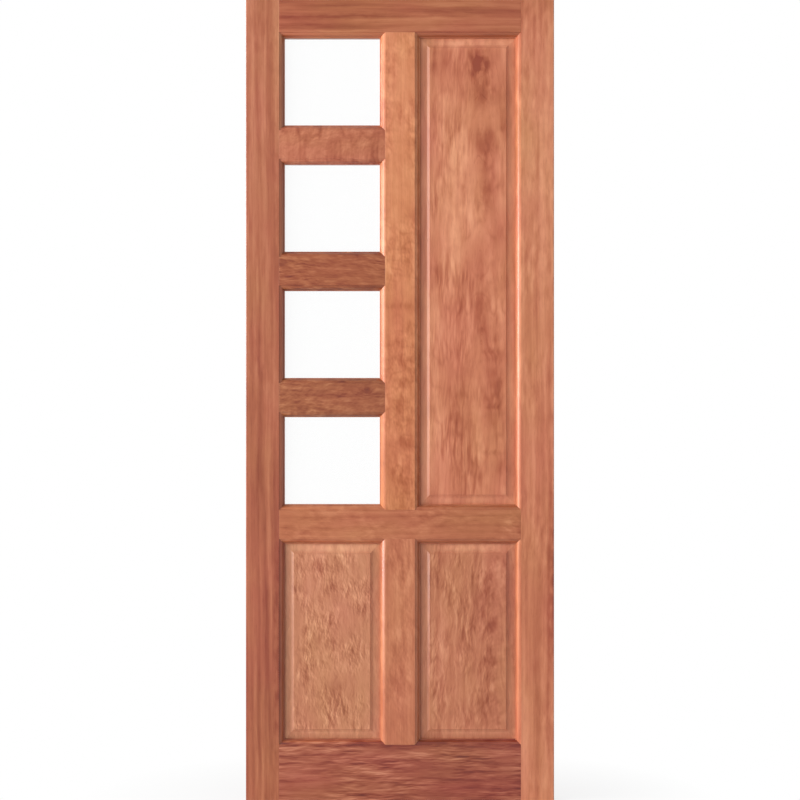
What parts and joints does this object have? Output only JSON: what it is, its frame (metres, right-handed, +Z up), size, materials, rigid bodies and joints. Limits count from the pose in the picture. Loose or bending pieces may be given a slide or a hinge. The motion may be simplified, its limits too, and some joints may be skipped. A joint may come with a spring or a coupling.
{
  "type": "part-glazed panel door leaf",
  "caption": "Joined wooden door leaf with four glazed lights down one side, a tall raised panel beside them and two raised panels below.",
  "frame": {"origin": "foot of the hinge edge, in the middle of the leaf's thickness", "axes": "+X across the leaf from the hinge edge to the lock edge, +Y from the front face to the back, +Z up"},
  "size_m": [0.762, 0.044, 1.981],
  "materials": {
    "frame_wood": "reddish brown stain under a thin satin varnish",
    "panel_wood": "reddish brown stain under a thin satin varnish, a little lighter",
    "bead_wood": "reddish brown stain under a thin satin varnish",
    "wedge_wood": "bare end grain",
    "clear_glass": "clear, polished"
  },
  "bodies": {
    "root": {"left_stile": "frame_wood", "right_stile": "frame_wood", "top_rail": "frame_wood", "middle_rail": "frame_wood", "bottom_rail": "frame_wood", "upper_muntin": "frame_wood", "lower_muntin": "frame_wood", "light_bar_1": "frame_wood", "light_bar_2": "frame_wood", "light_bar_3": "frame_wood", "tall_panel": "panel_wood", "lower_left_panel": "panel_wood", "lower_right_panel": "panel_wood", "wedges_top_left": "wedge_wood", "wedges_top_right": "wedge_wood", "wedges_middle_left": "wedge_wood", "wedges_middle_right": "wedge_wood", "wedges_bottom_left": "wedge_wood", "wedges_bottom_right": "wedge_wood", "glass_1": "clear_glass", "bead_1_top": "bead_wood", "bead_1_bottom": "bead_wood", "bead_1_left": "bead_wood", "bead_1_right": "bead_wood", "glass_2": "clear_glass", "bead_2_top": "bead_wood", "bead_2_bottom": "bead_wood", "bead_2_left": "bead_wood", "bead_2_right": "bead_wood", "glass_3": "clear_glass", "bead_3_top": "bead_wood", "bead_3_bottom": "bead_wood", "bead_3_left": "bead_wood", "bead_3_right": "bead_wood", "glass_4": "clear_glass", "bead_4_top": "bead_wood", "bead_4_bottom": "bead_wood", "bead_4_left": "bead_wood", "bead_4_right": "bead_wood"}
  },
  "joints": []
}
